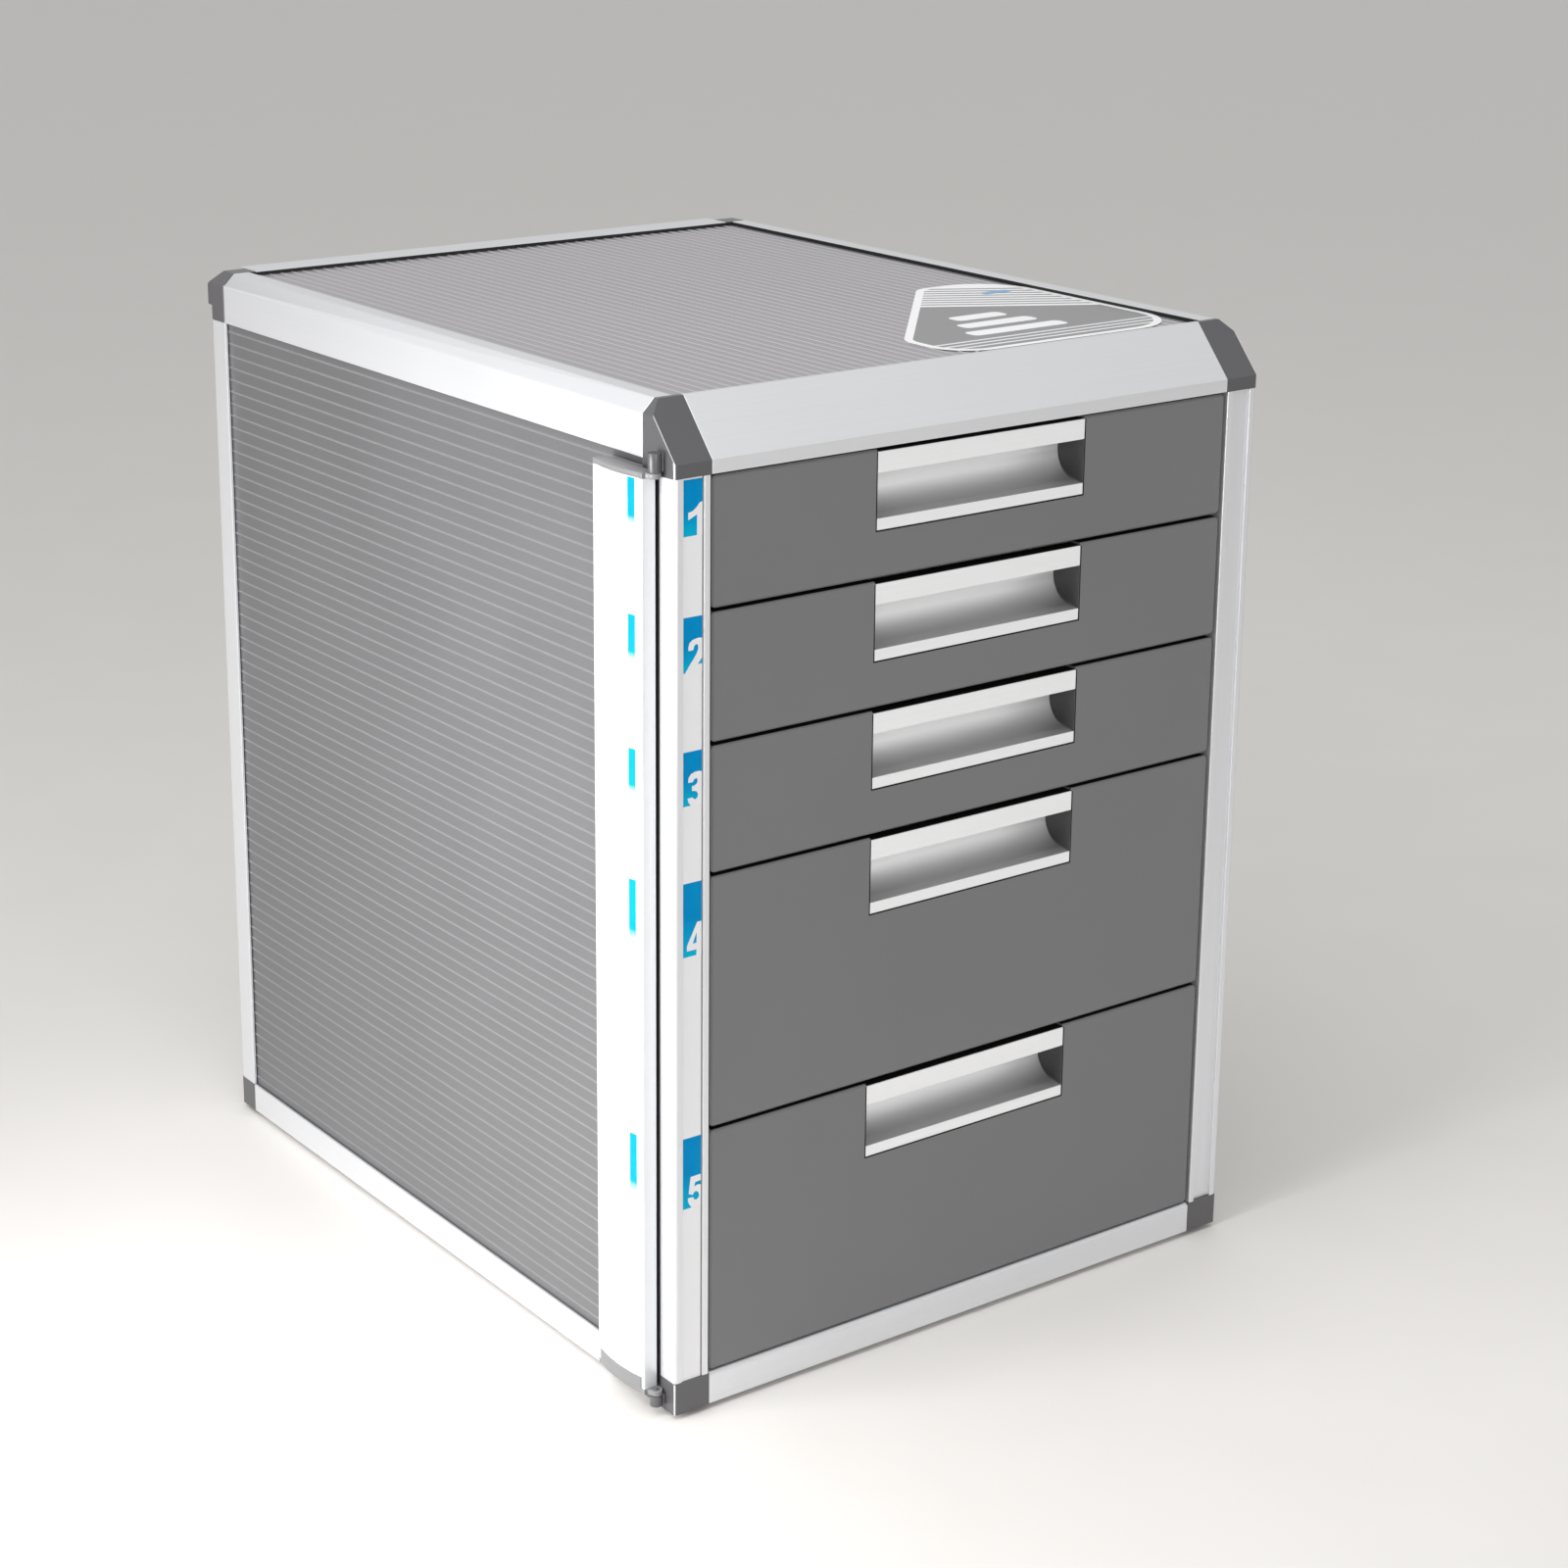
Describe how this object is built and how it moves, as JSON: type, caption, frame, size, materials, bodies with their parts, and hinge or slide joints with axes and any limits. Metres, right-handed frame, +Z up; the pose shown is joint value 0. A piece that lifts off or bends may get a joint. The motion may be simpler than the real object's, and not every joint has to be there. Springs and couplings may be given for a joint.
{
  "type": "desktop drawer cabinet",
  "caption": "Lockable desktop document box: aluminium frame with grey corner blocks and ribbed panels, sliding drawers with extruded pulls, a swing-out index bar and a side lock.",
  "frame": {"origin": "centre of the footprint of the whole part, feet and index bar included, on the surface it stands on", "axes": "+Z up, the drawer fronts face -Y, +X is the side with the lock, the index bar is on -X"},
  "size_m": [0.3094, 0.375, 0.416],
  "materials": {
    "frame_aluminium": "anodised satin",
    "corner_plastic": "satin grey",
    "panel_plastic": "satin grey",
    "runner_plastic": "moulded grey",
    "foot_rubber": "matte black",
    "number_strip_plastic": "light grey with blue printed blocks",
    "lock_chrome": "polished",
    "lock_steel": "zinc plated",
    "rod_plastic": "moulded black",
    "card_plastic": "white printed card",
    "cap_plastic": "satin grey",
    "tray_plastic": "moulded grey",
    "front_plastic": "satin grey"
  },
  "bodies": {
    "cabinet": {"left_top_rail": "frame_aluminium", "right_top_rail": "frame_aluminium", "left_bottom_rail": "frame_aluminium", "right_bottom_rail": "frame_aluminium", "front_top_rail": "frame_aluminium", "front_bottom_rail": "frame_aluminium", "rear_top_rail": "frame_aluminium", "rear_bottom_rail": "frame_aluminium", "left_front_post": "frame_aluminium", "right_front_post": "frame_aluminium", "left_rear_post": "frame_aluminium", "right_rear_post": "frame_aluminium", "corner_left_front_top": "corner_plastic", "corner_left_front_bottom": "corner_plastic", "corner_left_rear_top": "corner_plastic", "corner_left_rear_bottom": "corner_plastic", "corner_right_front_top": "corner_plastic", "corner_right_front_bottom": "corner_plastic", "corner_right_rear_top": "corner_plastic", "corner_right_rear_bottom": "corner_plastic", "left_panel": "panel_plastic", "right_panel": "panel_plastic", "top_panel": "panel_plastic", "rear_panel": "panel_plastic", "bottom_panel": "panel_plastic", "left_runner_wall": "runner_plastic", "right_runner_wall": "runner_plastic", "feet": "foot_rubber", "number_strip": "number_strip_plastic", "lock_barrel": "lock_chrome", "lock_nut": "lock_steel", "hinge_pins": "lock_steel"},
    "drawer_1": {"drawer_1_tray": "tray_plastic", "drawer_1_runners": "runner_plastic", "drawer_1_front": "front_plastic", "drawer_1_handle": "frame_aluminium"},
    "drawer_2": {"drawer_2_tray": "tray_plastic", "drawer_2_runners": "runner_plastic", "drawer_2_front": "front_plastic", "drawer_2_handle": "frame_aluminium"},
    "drawer_3": {"drawer_3_tray": "tray_plastic", "drawer_3_runners": "runner_plastic", "drawer_3_front": "front_plastic", "drawer_3_handle": "frame_aluminium"},
    "drawer_4": {"drawer_4_tray": "tray_plastic", "drawer_4_runners": "runner_plastic", "drawer_4_front": "front_plastic", "drawer_4_handle": "frame_aluminium"},
    "drawer_5": {"drawer_5_tray": "tray_plastic", "drawer_5_runners": "runner_plastic", "drawer_5_front": "front_plastic", "drawer_5_handle": "frame_aluminium"},
    "index_bar": {"index_bar": "frame_aluminium", "index_card": "card_plastic", "index_top_cap": "cap_plastic", "index_bottom_cap": "cap_plastic"},
    "lock_plug": {"lock_plug": "lock_chrome", "lock_cam": "lock_steel"},
    "locking_rod": {"locking_rod": "rod_plastic", "rod_fingers": "rod_plastic"}
  },
  "joints": [
    {"name": "drawer_1_slide", "type": "slide", "parent": "cabinet", "child": "drawer_1", "axis": [0, -1, 0], "range_m": [0, 0.245]},
    {"name": "drawer_2_slide", "type": "slide", "parent": "cabinet", "child": "drawer_2", "axis": [0, -1, 0], "range_m": [0, 0.245]},
    {"name": "drawer_3_slide", "type": "slide", "parent": "cabinet", "child": "drawer_3", "axis": [0, -1, 0], "range_m": [0, 0.245]},
    {"name": "drawer_4_slide", "type": "slide", "parent": "cabinet", "child": "drawer_4", "axis": [0, -1, 0], "range_m": [0, 0.245]},
    {"name": "drawer_5_slide", "type": "slide", "parent": "cabinet", "child": "drawer_5", "axis": [0, -1, 0], "range_m": [0, 0.245]},
    {"name": "index_bar_hinge", "type": "hinge", "parent": "cabinet", "child": "index_bar", "pos_m": [-0.14875, -0.1787, 0.0023], "axis": [0, 0, 1], "range_deg": [0, 130]},
    {"name": "lock_turn", "type": "hinge", "parent": "cabinet", "child": "lock_plug", "pos_m": [0.1547, -0.1515, 0.371], "axis": [1, 0, 0], "range_deg": [-90, 0]},
    {"name": "rod_slide", "type": "slide", "parent": "cabinet", "child": "locking_rod", "axis": [0, 0, 1], "range_m": [-0.008, 0]}
  ],
  "couplings": [
    {"joint": "lock_turn", "follows": "rod_slide", "rad_per_m": 196.3}
  ]
}
